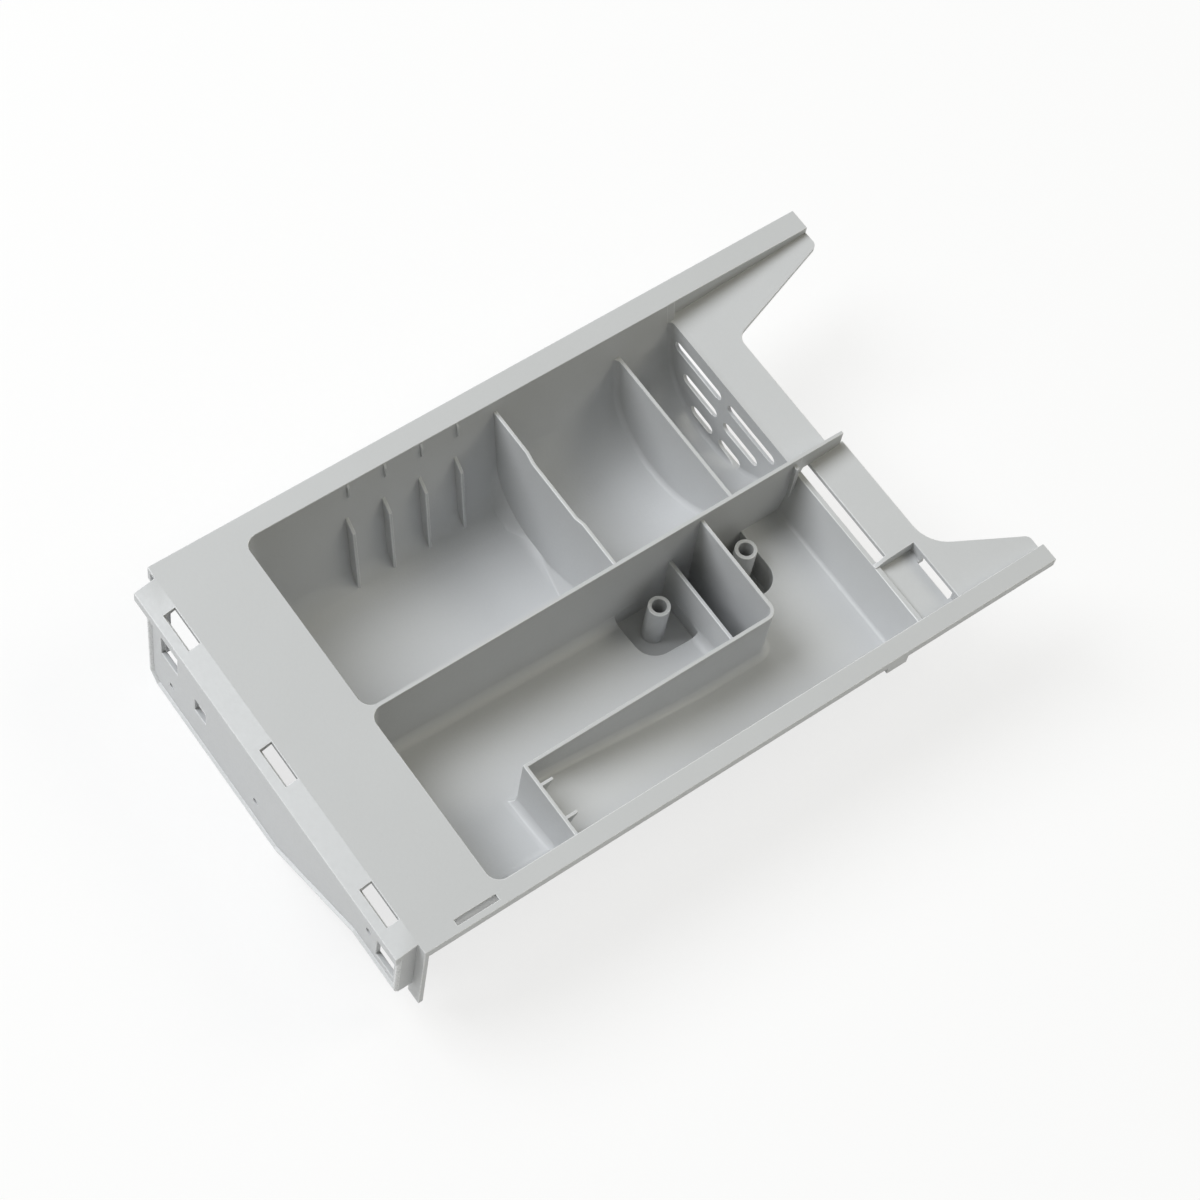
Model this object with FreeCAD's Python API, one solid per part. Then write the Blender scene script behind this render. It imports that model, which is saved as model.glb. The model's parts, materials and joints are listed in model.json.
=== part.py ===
"""Detergent dispenser drawer of a washing machine: one injection moulded tray, 170 mm wide.

While it is drawn, x runs to the right from the left rim's outer edge, y runs to the rear from the
deck's front crease, and z is the height above the rim's top face, so depths are negative. The
finished moulding is then set on its lowest point, centred on its bounding box.
"""

import math
import os

import FreeCAD
import Part
from FreeCAD import Vector

# Overall sizes
DRAWER_WIDTH = 170.0
LEFT_RIM_LENGTH = 282.5
RIM_STAGGER = 10.5
DECK_LENGTH = 33.0
TROUGH_DEPTH = 57.0

# Wall thicknesses and common radii
WALL = 1.8
PARTITION = 1.4
FLANGE = 2.2
CORNER_RADIUS = 5.0
FOOT_RADIUS = 2.0
WALL_DRAFT = 0.03

# Rims, which slide in the housing
LEFT_RIM_WIDTH = 9.2
RIGHT_RIM_WIDTH = 7.5
LEFT_SKIRT = 8.0
RIGHT_SKIRT = 4.5
LUG_Y = 196.0
LUG_LENGTH = 9.0
LUG_DROP = 9.0
SLIT_LENGTH = 16.6
SLIT_WIDTH = 2.2
SLIT_FROM_SIDE = 3.6
SLIT_FROM_BAY = 1.8
SLIT_GUIDE_DROP = 6.0
SLIT_GUIDE_OVERRUN = 3.0

# Wall between the two bays
CENTRE_WALL_SHARE = 0.5106
CENTRE_WALL_END = 239.0

# Left bay: a round-bottomed trough with two weirs and a louvred rear wall
LEFT_WALL_SLOPE = 0.19
FRONT_LEFT_RADIUS = 14.0
FRONT_RIGHT_RADIUS = 18.0
REAR_LEFT_RADIUS_SHARE = 0.339
REAR_RIGHT_RADIUS_SHARE = 0.548
WEIR_1_Y = 139.5
WEIR_1_DROP = 5.5
WEIR_NOTCH_DROP = 2.0
WEIR_NOTCH_LENGTH = 34.5
WEIR_NOTCH_SLOPE = 4.0
COLLAR_LENGTH = 4.5
WEIR_2_Y = 194.5
WEIR_2_DROP = 13.2
WEIR_2_FOOT_RADIUS = 2.5
LOUVRE_WALL_Y = 219.6
REAR_FLOOR_DEPTH = 55.0
LOUVRE_FLOOR_DEPTH = 49.0

# Louvre slots: rows from the top, each with one slot either side of the mullion
LOUVRE_MULLION_OFFSET = 1.5
LOUVRE_MULLION_WIDTH = 4.0
LOUVRE_SLOT_HEIGHT = 5.0
LOUVRE_TOP_ROW_DEPTH = 19.0
LOUVRE_ROW_PITCH = 12.2
LOUVRE_TOP_SLOT_SHARE = 0.372
LOUVRE_SLOT_SHORTENING = 7.6
LOUVRE_ROWS = 3

# Fin ribs on the outer wall of the front compartment
FIN_COUNT = 4
FIN_FIRST_Y = 74.5
FIN_PITCH = 15.6
FIN_THICKNESS = 1.3
FIN_TOP_DEPTH = 15.0
FIN_SHOULDER_DEPTH = 22.0
FIN_SHOULDER_REACH = 8.5
FIN_FOOT_REACH = 14.5

# Right bay: outer wall, tilted floor of the front compartment
OUTER_WALL_SLOPE = 0.30
FRONT_FLOOR_DEPTH = 39.0
FRONT_FLOOR_CROSS_FALL = 0.12
FRONT_FLOOR_REAR_FALL = 0.055
FRONT_FOOT_RADIUS = 4.0

# L-shaped wall that parts the side channel from the front compartment
CHANNEL_WIDTH = 30.8
CHANNEL_FRONT_Y = 67.2
CHANNEL_END_Y = 175.1
CHANNEL_WALL_DROP = 3.0
CHANNEL_CORNER_RADIUS = 3.0
CHANNEL_FRONT_DEPTH = 14.5
CHANNEL_REAR_DEPTH = 31.0
CHANNEL_RAMP_END_Y = 145.0
CHANNEL_RAMP_RADIUS = 110.0
CHANNEL_FOOT_RADIUS = 3.0
GUSSET_COUNT = 2
GUSSET_FIRST_OFFSET = 8.0
GUSSET_PITCH = 14.5
GUSSET_LENGTH = 4.5
GUSSET_HEIGHT = 9.0
GUSSET_THICKNESS = 1.2

# Thin wall between the front compartment and the pocket
THIN_WALL = 1.4
THIN_WALL_Y = 163.2
THIN_WALL_DROP = 20.5

# Leaning rear wall of the right bay
REAR_WALL_FOOT_Y = 214.0
REAR_WALL_LEAN = 0.29
REAR_WALL_DROP = 11.5
REAR_WALL_FOOT_RADIUS = 2.0
CORNER_RIB_Y = 217.2
CORNER_RIB_WIDTH = 1.6
CORNER_RIB_REACH = 2.2

# Siphon posts in their sumps
POST_OFFSET = 11.5
POST_1_Y = 151.1
POST_2_Y = 189.5
POST_RADIUS = 4.2
BORE_RADIUS = 2.8
POST_1_TOP_DROP = 25.5
POST_2_TOP_DROP = 21.0
SUMP_STEP = 8.0
SUMP_1_FRONT_Y = 140.5
SUMP_1_WIDTH = 23.0
SUMP_1_RADIUS = 8.0
SUMP_2_REAR_Y = 196.8
SUMP_2_WIDTH = 26.0
SUMP_2_RADIUS = 8.0

# Sloping rear plates and their arms
PLATE = 2.2
PLATE_DROP = 9.5
PLATE_RISE = 0.10
LEFT_PLATE_REAR_Y = 235.4
LEFT_ARM_ROOT_X = 30.6
LEFT_ARM_TIP_X = 15.8
LEFT_ARM_RADIUS = 5.0
RIGHT_PLATE_FRONT_Y = 225.0
RIGHT_PLATE_REAR_Y = 240.5
RIGHT_ARM_ROOT_FROM_SIDE = 32.8
RIGHT_ARM_TIP_FROM_SIDE = 14.0
RIGHT_ARM_RADIUS = 15.0
ARM_TIP_RADIUS = 3.0

# Sunk ledge beside the water slot, with a low window in its rear riser
LEDGE_OFFSET = 2.5
LEDGE_DROP = 13.5
LEDGE_REAR_Y = 236.5
LEDGE_WINDOW_MARGIN = 5.5
LEDGE_WINDOW_CUT = 1.0

# Front lip with clip windows for a front panel
LIP_REACH = 8.6
LIP_FALL = 2.5
LIP_EDGE = 5.0
LIP_START_X = 5.0
LIP_END_MARGIN = 4.0
WINDOW_COUNT = 3
WINDOW_LEFT_MARGIN = 18.4
WINDOW_RIGHT_MARGIN = 15.0
WINDOW_LENGTH = 16.0
WINDOW_WIDTH = 4.6
WINDOW_SETBACK = 0.3

# Apron below the lip, deep in front of the trough and shallow in front of the right bay
APRON = 2.0
APRON_SETBACK = 2.6
APRON_START_X = 9.5
APRON_CHAMFER = 5.0
APRON_STEP_OFFSET = 5.2
APRON_STEP_END_FROM_SIDE = 30.0
APRON_SHALLOW_DEPTH = 36.0
APRON_END_MARGIN = 4.5
LEG_WIDTH = 6.5
LEG_DEPTH = 46.0
LEG_SETBACK = 2.0
STIFFENER_SPREAD = 34.0
STIFFENER_DEPTH = 24.0

# Apron openings, the first two placed from the left and the third from the right side
OPENING_1_X = 17.5
OPENING_1_WIDTH = 10.5
OPENING_1_TOP_DEPTH = 14.0
OPENING_1_LOW_DEPTH = 30.0
OPENING_2_X = 39.0
OPENING_2_WIDTH = 7.0
OPENING_2_TOP_DEPTH = 29.5
OPENING_2_LOW_DEPTH = 38.0
OPENING_3_FROM_SIDE = 18.0
OPENING_3_WIDTH = 10.0
OPENING_3_TOP_DEPTH = 10.0
OPENING_3_LOW_DEPTH = 30.0

# Small round holes in the apron
HOLE_RADIUS = 1.4
HOLE_1_X = 23.8
HOLE_1_DEPTH = 45.6
HOLE_2_X = 78.0
HOLE_2_DEPTH = 43.6
HOLE_3_FROM_SIDE = 23.0
HOLE_3_DEPTH = 20.0

# Values that follow from those above
CUT = 20.0
HEIGHT = TROUGH_DEPTH + WALL
RIGHT_RIM_LENGTH = LEFT_RIM_LENGTH - RIM_STAGGER
CENTRE_WALL_X = DRAWER_WIDTH * CENTRE_WALL_SHARE
CENTRE_LEFT = CENTRE_WALL_X - PARTITION / 2
CENTRE_RIGHT = CENTRE_WALL_X + PARTITION / 2
LEFT_BAY_WIDTH = CENTRE_LEFT - LEFT_RIM_WIDTH
LEFT_BAY_MIDDLE = LEFT_RIM_WIDTH + LEFT_BAY_WIDTH / 2
RIGHT_BAY_EDGE = DRAWER_WIDTH - RIGHT_RIM_WIDTH
WEIR_1_FRONT = WEIR_1_Y - PARTITION / 2
WEIR_1_REAR = WEIR_1_Y + PARTITION / 2
WEIR_2_FRONT = WEIR_2_Y - PARTITION / 2
WEIR_2_REAR = WEIR_2_Y + PARTITION / 2
COLLAR_Y = WEIR_1_FRONT - COLLAR_LENGTH
LOUVRE_FRONT = LOUVRE_WALL_Y - PARTITION / 2
LOUVRE_REAR = LOUVRE_WALL_Y + PARTITION / 2
CHANNEL_WALL_X = RIGHT_BAY_EDGE - CHANNEL_WIDTH
CHANNEL_WALL_LEFT = CHANNEL_WALL_X - PARTITION / 2
CHANNEL_WALL_RIGHT = CHANNEL_WALL_X + PARTITION / 2
POST_X = CENTRE_RIGHT + POST_OFFSET
SUMP_DEPTH = FRONT_FLOOR_DEPTH + SUMP_STEP
LEDGE_START_X = CHANNEL_WALL_X + LEDGE_OFFSET


def box(x0, x1, y0, y1, z0, z1):
    """Block between two opposite corners."""
    return Part.makeBox(x1 - x0, y1 - y0, z1 - z0, Vector(x0, y0, z0))


def prism(points, travel):
    """Closed outline of straight sides, swept along a vector."""
    return Part.Face(Part.makePolygon(points + points[:1])).extrude(travel)


def section_prism(outline, y0, y1, rise=0.0):
    """Outline of (x, z) pairs swept to the rear, climbing by rise."""
    return prism([Vector(x, y0, z) for x, z in outline], Vector(0, y1 - y0, rise))


def side_prism(outline, x0, x1):
    """Outline of (y, z) pairs swept to the right."""
    return prism([Vector(x0, y, z) for y, z in outline], Vector(x1 - x0, 0, 0))


def plan_prism(outline, z0, z1):
    """Outline of (x, y) pairs swept upward."""
    return prism([Vector(x, y, z0) for x, y in outline], Vector(0, 0, z1 - z0))


def edges_where(shape, test):
    """Edges of a shape whose two ends both pass a test."""
    return [edge for edge in shape.Edges if all(test(vertex.Point) for vertex in edge.Vertexes)]


def upright_edges_at(shape, x, y):
    """Vertical edges of a shape that stand at one plan position."""
    return edges_where(shape, lambda p: math.hypot(p.x - x, p.y - y) < 0.01)


def plate_height(y):
    """Height of the sloping rear plates' upper face."""
    return -PLATE_DROP + PLATE_RISE * (y - LOUVRE_REAR)


def corner_half_angle(slope):
    """Half the angle between a level floor and a wall that leans outward by a slope."""
    return (math.pi / 2 + math.atan(slope)) / 2


def rounded_corner(corner, side, slope, radius):
    """Arc in a lower corner, from the wall to the floor; side is 1 where the floor runs to the right."""
    half = corner_half_angle(slope)
    run = radius / math.tan(half)
    rise = run * math.cos(math.atan(slope))
    sag = radius / math.sin(half) - radius
    on_wall = corner + Vector(-side * slope * rise, 0, rise)
    between = corner + Vector(side * sag * math.cos(half), 0, sag * math.sin(half))
    on_floor = corner + Vector(side * run, 0, 0)
    return on_wall, between, on_floor


def trough_section(y, depth, left_radius, right_radius, grow=0.0, top=CUT):
    """Outline of the left bay at one place: leaning outer wall, drafted centre wall, round lower corners."""
    floor = -depth - grow
    left = LEFT_RIM_WIDTH - grow
    right = CENTRE_LEFT + grow
    left_corner = Vector(left - LEFT_WALL_SLOPE * floor, y, floor)
    right_corner = Vector(right + WALL_DRAFT * floor, y, floor)
    wall_a, arc_a, floor_a = rounded_corner(left_corner, 1, LEFT_WALL_SLOPE, left_radius + grow)
    wall_b, arc_b, floor_b = rounded_corner(right_corner, -1, WALL_DRAFT, right_radius + grow)
    top_left = Vector(left - LEFT_WALL_SLOPE * top, y, top)
    top_right = Vector(right + WALL_DRAFT * top, y, top)
    return Part.Wire(
        [
            Part.makeLine(top_left, top_right),
            Part.makeLine(top_right, wall_b),
            Part.Arc(wall_b, arc_b, floor_b).toShape(),
            Part.makeLine(floor_b, floor_a),
            Part.Arc(floor_a, arc_a, wall_a).toShape(),
            Part.makeLine(wall_a, top_left),
        ]
    )


def front_section(y, grow=0.0, top=CUT):
    """Left bay's outline in the front compartment, with a flat floor."""
    return trough_section(y, TROUGH_DEPTH, FRONT_LEFT_RADIUS, FRONT_RIGHT_RADIUS, grow, top)


def rear_section(y, grow=0.0):
    """Left bay's outline behind the first weir, where the corners leave only a narrow flat of floor."""
    left_radius = LEFT_BAY_WIDTH * REAR_LEFT_RADIUS_SHARE
    right_radius = LEFT_BAY_WIDTH * REAR_RIGHT_RADIUS_SHARE
    return trough_section(y, rear_floor_depth(y), left_radius, right_radius, grow, 0.0)


def rear_floor_depth(y):
    """Depth of the floor behind the first weir, which climbs to the louvre wall."""
    climb = (REAR_FLOOR_DEPTH - LOUVRE_FLOOR_DEPTH) / (LOUVRE_FRONT - WEIR_1_Y)
    return REAR_FLOOR_DEPTH - climb * (y - WEIR_1_Y)


def front_trough(y0, y1, grow=0.0):
    """Length of the left bay with the front section."""
    return Part.Face(front_section(y0, grow)).extrude(Vector(0, y1 - y0, 0))


def rear_trough(y0, y1, grow=0.0):
    """Length of the left bay with the rear section, its floor climbing."""
    return Part.makeLoft([rear_section(y0, grow), rear_section(y1, grow)], True, True)


def collar(grow=0.0):
    """Length before the first weir where the front section runs over into the rounder rear one."""
    return Part.makeLoft([front_section(COLLAR_Y, grow, 0.0), rear_section(WEIR_1_FRONT, grow)], True, True)


def round_end(block, y, radius):
    """Round a bay's end wall all round its foot and sides, leaving the mouth."""
    mouth = max(vertex.Z for vertex in block.Vertexes)
    chosen = []
    for edge in edges_where(block, lambda p: abs(p.y - y) < 0.01):
        if min(vertex.Z for vertex in edge.Vertexes) < mouth - 0.01:
            chosen.append(edge)
    return block.makeFillet(radius, chosen)


def side_edges_at(block, y):
    """Edges of a bay's end wall that rise out of the bay's mouth."""
    found = []
    for edge in block.Edges:
        ends = sorted((vertex.Point for vertex in edge.Vertexes), key=lambda p: p.z)
        if all(abs(p.y - y) < 0.01 for p in ends) and ends[0].z < CUT / 2 < ends[-1].z:
            found.append(edge)
    return found


def left_bay_spaces():
    """Hollows of the left bay, from the front compartment to the louvre wall."""
    front = round_end(front_trough(DECK_LENGTH, COLLAR_Y), DECK_LENGTH, CORNER_RADIUS)
    middle = round_end(rear_trough(WEIR_1_REAR, WEIR_2_FRONT), WEIR_2_FRONT, WEIR_2_FOOT_RADIUS)
    rear = round_end(rear_trough(WEIR_2_REAR, LOUVRE_FRONT), LOUVRE_FRONT, FOOT_RADIUS)
    return [front, collar(), middle, rear]


def weir_openings():
    """Spaces above the two weirs and above the louvre wall."""
    mouth = front_trough(DECK_LENGTH, LOUVRE_REAR + WALL)
    above = []
    for y, drop, radius in ((WEIR_1_Y, WEIR_1_DROP, 0.0), (WEIR_2_Y, WEIR_2_DROP, WEIR_2_FOOT_RADIUS)):
        slab = box(0, CENTRE_WALL_X, y - WALL - radius, y + WALL, -drop, CUT)
        above.append(mouth.common(slab))
    low = -WEIR_1_DROP - WEIR_NOTCH_DROP
    start = LEFT_BAY_MIDDLE - WEIR_NOTCH_LENGTH / 2
    end = LEFT_BAY_MIDDLE + WEIR_NOTCH_LENGTH / 2
    notch = section_prism(
        [
            (start, -WEIR_1_DROP),
            (start + WEIR_NOTCH_SLOPE, low),
            (end - WEIR_NOTCH_SLOPE, low),
            (end, -WEIR_1_DROP),
        ],
        WEIR_1_Y - WALL,
        WEIR_1_Y + WALL,
    )
    over_louvres = box(0, CENTRE_WALL_X, LOUVRE_FRONT - WALL, LOUVRE_REAR, plate_height(LOUVRE_REAR), CUT)
    return above + [notch, mouth.common(over_louvres)]


def louvre_slots():
    """Rows of round-ended slots through the left bay's rear wall, shorter towards the floor."""
    slots = []
    radius = LOUVRE_SLOT_HEIGHT / 2
    mullion_x = LEFT_BAY_MIDDLE - LOUVRE_MULLION_OFFSET
    for row in range(LOUVRE_ROWS):
        z = -LOUVRE_TOP_ROW_DEPTH - row * LOUVRE_ROW_PITCH
        length = LEFT_BAY_WIDTH * LOUVRE_TOP_SLOT_SHARE - row * LOUVRE_SLOT_SHORTENING
        for side in (-1, 1):
            near = mullion_x + side * (LOUVRE_MULLION_WIDTH / 2 + radius)
            far = mullion_x + side * (LOUVRE_MULLION_WIDTH / 2 + length - radius)
            x0, x1 = sorted((near, far))
            y0 = LOUVRE_FRONT - WALL
            slot = box(x0, x1, y0, LOUVRE_REAR + WALL, z - radius, z + radius)
            for x in (x0, x1):
                end = Part.makeCylinder(radius, 3 * WALL, Vector(x, y0, z), Vector(0, 1, 0))
                slot = slot.fuse(end)
            slots.append(slot.removeSplitter())
    return slots


def fins(hull):
    """Thin ribs that stand out of the front compartment's outer wall and run into its floor."""
    outline = [
        (0, -FIN_TOP_DEPTH),
        (LEFT_RIM_WIDTH, -FIN_TOP_DEPTH),
        (LEFT_RIM_WIDTH + FIN_SHOULDER_REACH, -FIN_SHOULDER_DEPTH),
        (LEFT_RIM_WIDTH + FIN_FOOT_REACH, -TROUGH_DEPTH),
        (0, -TROUGH_DEPTH),
    ]
    made = []
    for index in range(FIN_COUNT):
        y = FIN_FIRST_Y + index * FIN_PITCH
        rib = section_prism(outline, y - FIN_THICKNESS / 2, y + FIN_THICKNESS / 2)
        made.append(rib.common(hull))
    return made


def right_bay_section(grow):
    """Sides of the right bay: drafted centre wall and sloping outer wall, as one long block."""
    depth = HEIGHT + CUT
    left = CENTRE_RIGHT - grow
    right = RIGHT_BAY_EDGE + grow
    outline = [
        (left - WALL_DRAFT * CUT, CUT),
        (right + OUTER_WALL_SLOPE * CUT, CUT),
        (right - OUTER_WALL_SLOPE * depth, -depth),
        (left + WALL_DRAFT * depth, -depth),
    ]
    return section_prism(outline, 0, LEFT_RIM_LENGTH)


def front_floor(grow):
    """Block above the front compartment's floor, which falls to the centre wall and to the rear."""
    low = FRONT_FLOOR_DEPTH + grow
    high = low - FRONT_FLOOR_CROSS_FALL * (DRAWER_WIDTH - CENTRE_WALL_X)
    length = CHANNEL_END_Y
    fall = FRONT_FLOOR_REAR_FALL * length
    lift = FRONT_FLOOR_REAR_FALL * CHANNEL_FRONT_Y
    outline = [
        (CENTRE_WALL_X, CUT + fall),
        (DRAWER_WIDTH, CUT + fall),
        (DRAWER_WIDTH, -high + lift),
        (CENTRE_WALL_X, -low + lift),
    ]
    return section_prism(outline, 0, length, -fall)


def front_compartment(grow=0.0):
    """L-shaped compartment of the right bay, wide before the side channel and narrow beside it."""
    left = CENTRE_WALL_X - 2 * grow
    rear = THIN_WALL_Y - THIN_WALL / 2 + grow
    turn_x = CHANNEL_WALL_LEFT + grow
    turn_y = CHANNEL_FRONT_Y - PARTITION / 2 + grow
    front = DECK_LENGTH - grow
    outline = [
        (left, front),
        (DRAWER_WIDTH, front),
        (DRAWER_WIDTH, turn_y),
        (turn_x, turn_y),
        (turn_x, rear),
        (left, rear),
    ]
    plan = plan_prism(outline, -HEIGHT - CUT, CUT)
    return plan.common(right_bay_section(grow)).common(front_floor(grow))


def front_compartment_space():
    """Hollow of the front compartment, its front corners, its far corner and its feet rounded."""
    space = front_compartment()
    rear_edges = side_edges_at(space, THIN_WALL_Y - THIN_WALL / 2)
    far_corner = [edge for edge in rear_edges if edge.CenterOfMass.x > POST_X]
    space = space.makeFillet(CORNER_RADIUS, side_edges_at(space, DECK_LENGTH) + far_corner)
    feet = edges_where(space, lambda p: p.z < -FRONT_FLOOR_DEPTH / 2)
    return space.makeFillet(FRONT_FOOT_RADIUS, feet)


def side_channel(grow=0.0):
    """Side channel and rear compartment of the right bay, down to their common floor."""
    left = CENTRE_WALL_X - 2 * grow
    front = CHANNEL_FRONT_Y + PARTITION / 2 - grow
    turn_x = CHANNEL_WALL_RIGHT - grow
    turn_y = CHANNEL_END_Y + PARTITION / 2 - grow
    outline = [
        (turn_x, front),
        (DRAWER_WIDTH, front),
        (DRAWER_WIDTH, LEFT_RIM_LENGTH),
        (left, LEFT_RIM_LENGTH),
        (left, turn_y),
        (turn_x, turn_y),
    ]
    plan = plan_prism(outline, -HEIGHT, CUT)
    plan = plan.makeFillet(CHANNEL_CORNER_RADIUS + PARTITION - grow, upright_edges_at(plan, turn_x, turn_y))
    rear_foot = REAR_WALL_FOOT_Y + grow
    rear_top = rear_foot + REAR_WALL_LEAN * (CHANNEL_REAR_DEPTH + CUT)
    profile = [
        (0, CUT),
        (rear_top, CUT),
        (rear_foot, -CHANNEL_REAR_DEPTH - grow),
        (CHANNEL_RAMP_END_Y, -CHANNEL_REAR_DEPTH - grow),
        (CHANNEL_FRONT_Y, -CHANNEL_FRONT_DEPTH - grow),
        (0, -CHANNEL_FRONT_DEPTH - grow),
    ]
    return plan.common(right_bay_section(grow)).common(side_prism(profile, 0, DRAWER_WIDTH))


def side_channel_space():
    """Hollow of the side channel, the end of its ramp and the feet of its walls rounded."""
    space = side_channel()
    floor = -CHANNEL_REAR_DEPTH
    ramp_end = edges_where(space, lambda p: abs(p.y - CHANNEL_RAMP_END_Y) < 0.01 and abs(p.z - floor) < 0.01)
    space = space.makeFillet(CHANNEL_RAMP_RADIUS, ramp_end)
    rear_foot = edges_where(space, lambda p: abs(p.y - REAR_WALL_FOOT_Y) < 0.01 and abs(p.z - floor) < 0.01)
    space = space.makeFillet(REAR_WALL_FOOT_RADIUS, rear_foot)
    low = -CHANNEL_FRONT_DEPTH
    inner_foot = edges_where(space, lambda p: p.z < low and p.x < CHANNEL_WALL_RIGHT + 0.01 and p.y < WEIR_2_Y)
    inner_foot = [edge for edge in inner_foot if abs(edge.tangentAt(edge.FirstParameter).z) < 0.5]
    return space.makeFillet(CHANNEL_FOOT_RADIUS, inner_foot)


def pocket(grow=0.0):
    """Narrow deep pocket between the thin wall and the end of the L-shaped wall."""
    y0 = THIN_WALL_Y + THIN_WALL / 2 - grow
    y1 = CHANNEL_END_Y - PARTITION / 2 + grow
    x1 = CHANNEL_WALL_LEFT + grow
    block = box(CENTRE_WALL_X - 2 * grow, x1, y0, y1, -SUMP_DEPTH - grow, CUT)
    block = block.makeFillet(CHANNEL_CORNER_RADIUS + grow, upright_edges_at(block, x1, y1))
    return block.common(right_bay_section(grow))


def sump_1(grow=0.0):
    """Sunk floor round the front siphon post, with two round front corners."""
    x1 = CENTRE_RIGHT + SUMP_1_WIDTH + grow
    y0 = SUMP_1_FRONT_Y - grow
    y1 = THIN_WALL_Y - THIN_WALL / 2 + grow
    block = box(CENTRE_WALL_X - 2 * grow, x1, y0, y1, -SUMP_DEPTH - grow, -FRONT_FLOOR_DEPTH)
    block = block.makeFillet(SUMP_1_RADIUS + grow, upright_edges_at(block, x1, y0))
    return block.common(right_bay_section(grow))


def sump_2(grow=0.0):
    """Sunk floor round the rear siphon post, with a round rear corner."""
    x1 = CENTRE_RIGHT + SUMP_2_WIDTH + grow
    y0 = CHANNEL_END_Y + PARTITION / 2 - grow
    y1 = SUMP_2_REAR_Y + grow
    top = -CHANNEL_REAR_DEPTH + WALL / 2 - grow
    block = box(CENTRE_WALL_X - 2 * grow, x1, y0, y1, -SUMP_DEPTH - grow, top)
    block = block.makeFillet(SUMP_2_RADIUS + grow, upright_edges_at(block, x1, y1))
    return block.common(right_bay_section(grow))


def siphon_posts():
    """Tubes that stand in the sumps and go on below them as short outlets."""
    return [
        Part.makeCylinder(POST_RADIUS, HEIGHT - drop, Vector(POST_X, y, -HEIGHT))
        for y, drop in ((POST_1_Y, POST_1_TOP_DROP), (POST_2_Y, POST_2_TOP_DROP))
    ]


def siphon_bores():
    """Bores through the siphon posts from top to outlet."""
    return [
        Part.makeCylinder(BORE_RADIUS, HEIGHT + 2 * CUT, Vector(POST_X, y, -HEIGHT - CUT))
        for y in (POST_1_Y, POST_2_Y)
    ]


def right_bay_walls():
    """Solid of the right bay before it is hollowed, stopped at the tops of its walls."""
    bay = front_compartment(WALL).fuse([pocket(WALL), side_channel(WALL)])
    rim_cap = box(0, DRAWER_WIDTH, 0, LEFT_RIM_LENGTH, 0, 2 * CUT)
    rear_top = REAR_WALL_FOOT_Y + REAR_WALL_LEAN * (CHANNEL_REAR_DEPTH - REAR_WALL_DROP)
    over_rear_wall = box(CENTRE_RIGHT, RIGHT_BAY_EDGE, rear_top - WALL, LEFT_RIM_LENGTH, -REAR_WALL_DROP, CUT)
    behind_rims = box(0, DRAWER_WIDTH, RIGHT_PLATE_FRONT_Y, LEFT_RIM_LENGTH, -CUT, CUT)
    return bay.cut([rim_cap, over_rear_wall, behind_rims])


def low_wall_openings():
    """Spaces above the L-shaped wall and above the thin wall."""
    bay = right_bay_section(0.0)
    over_channel_wall = plan_prism(
        [
            (CENTRE_WALL_X, CHANNEL_END_Y - WALL),
            (CHANNEL_WALL_LEFT - WALL, CHANNEL_END_Y - WALL),
            (CHANNEL_WALL_LEFT - WALL, CHANNEL_FRONT_Y - WALL),
            (DRAWER_WIDTH, CHANNEL_FRONT_Y - WALL),
            (DRAWER_WIDTH, REAR_WALL_FOOT_Y),
            (CENTRE_WALL_X, REAR_WALL_FOOT_Y),
        ],
        -CHANNEL_WALL_DROP,
        CUT,
    )
    corner_start = THIN_WALL_Y - THIN_WALL / 2 - CORNER_RADIUS
    over_thin_wall = box(
        CENTRE_WALL_X, CHANNEL_WALL_LEFT, corner_start, THIN_WALL_Y + WALL, -THIN_WALL_DROP, CUT
    )
    return [over_channel_wall.common(bay), over_thin_wall.common(bay)]


def gussets():
    """Small triangular ribs behind the side channel's front wall."""
    y0 = CHANNEL_FRONT_Y
    top = -CHANNEL_WALL_DROP
    outline = [
        (y0, top),
        (y0 + GUSSET_LENGTH + WALL / 2, top),
        (y0 + WALL / 2, top - GUSSET_HEIGHT),
        (y0, top - GUSSET_HEIGHT),
    ]
    made = []
    for index in range(GUSSET_COUNT):
        x = CHANNEL_WALL_X + GUSSET_FIRST_OFFSET + index * GUSSET_PITCH
        made.append(side_prism(outline, x, x + GUSSET_THICKNESS))
    return made


def corner_rib():
    """Upright rib on the centre wall, just before the right bay's rear wall."""
    y0 = CORNER_RIB_Y - CORNER_RIB_WIDTH / 2
    return box(
        CENTRE_WALL_X,
        CENTRE_RIGHT + CORNER_RIB_REACH,
        y0,
        y0 + CORNER_RIB_WIDTH,
        -CHANNEL_REAR_DEPTH,
        -CHANNEL_WALL_DROP,
    )


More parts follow.
